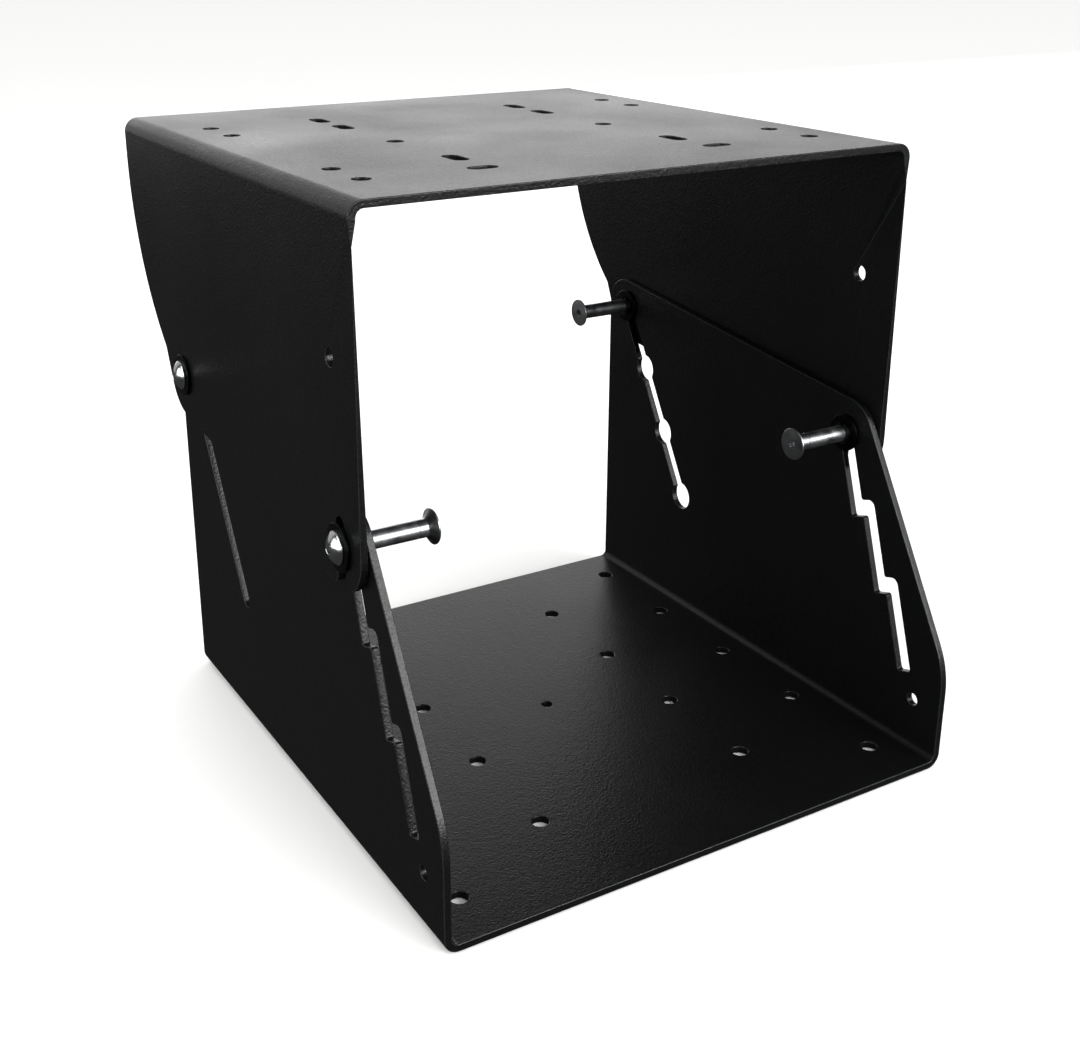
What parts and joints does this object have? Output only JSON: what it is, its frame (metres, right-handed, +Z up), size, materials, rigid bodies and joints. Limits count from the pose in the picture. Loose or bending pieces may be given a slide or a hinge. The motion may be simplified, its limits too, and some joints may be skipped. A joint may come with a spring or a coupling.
{
  "type": "under-desk computer holder",
  "caption": "Under-desk computer holder: a bent sheet hanger that screws to the desk, and a bent sheet tray bolted between its walls through stepped height slots.",
  "frame": {"origin": "on the floor, under the middle of the holder's bounding box", "axes": "+Z up, +X to the right seen from the front, front at -Y"},
  "size_m": [0.253, 0.29, 0.254],
  "materials": {
    "powder_coat": "black powder coat with a fine matt grain",
    "polished_stainless": "polished stainless steel",
    "black_oxide": "black oxide, satin",
    "spring_steel": "dark tempered spring steel"
  },
  "bodies": {
    "tray": {"lower_bracket": "powder_coat"},
    "rear_bolts": {"dome_screw_rear_left": "polished_stainless", "dome_screw_rear_right": "polished_stainless", "outer_washer_rear_left": "black_oxide", "outer_washer_rear_right": "black_oxide", "inner_washer_rear_left": "black_oxide", "inner_washer_rear_right": "black_oxide", "lock_washer_rear_left": "spring_steel", "lock_washer_rear_right": "spring_steel"},
    "hanger": {"upper_bracket": "powder_coat", "dome_screw_front_left": "polished_stainless", "dome_screw_front_right": "polished_stainless", "outer_washer_front_left": "black_oxide", "outer_washer_front_right": "black_oxide", "inner_washer_front_left": "black_oxide", "inner_washer_front_right": "black_oxide", "lock_washer_front_left": "spring_steel", "lock_washer_front_right": "spring_steel"},
    "nut_front_left": {"sleeve_nut_front_left": "polished_stainless"},
    "nut_front_right": {"sleeve_nut_front_right": "polished_stainless"},
    "nut_rear_left": {"sleeve_nut_rear_left": "polished_stainless"},
    "nut_rear_right": {"sleeve_nut_rear_right": "polished_stainless"}
  },
  "joints": [
    {"name": "height_slide", "type": "slide", "parent": "tray", "child": "rear_bolts", "axis": [0, -0.4999, -0.8661], "range_m": [0, 0.0238]},
    {"name": "hanger_rock", "type": "hinge", "parent": "rear_bolts", "child": "hanger", "pos_m": [0, 0.085, 0.1495], "axis": [1, 0, 0], "range_deg": [0, 3.81]},
    {"name": "sleeve_nut_front_left_turn", "type": "hinge", "parent": "hanger", "child": "nut_front_left", "pos_m": [-0.1, -0.0785, 0.1295], "axis": [1, 0, 0], "continuous": true},
    {"name": "sleeve_nut_front_right_turn", "type": "hinge", "parent": "hanger", "child": "nut_front_right", "pos_m": [0.1, -0.0785, 0.1295], "axis": [1, 0, 0], "continuous": true},
    {"name": "sleeve_nut_rear_left_turn", "type": "hinge", "parent": "rear_bolts", "child": "nut_rear_left", "pos_m": [-0.1, 0.085, 0.1495], "axis": [1, 0, 0], "continuous": true},
    {"name": "sleeve_nut_rear_right_turn", "type": "hinge", "parent": "rear_bolts", "child": "nut_rear_right", "pos_m": [0.1, 0.085, 0.1495], "axis": [1, 0, 0], "continuous": true}
  ],
  "couplings": [
    {"joint": "hanger_rock", "follows": "height_slide", "rad_per_m": 2.786}
  ]
}
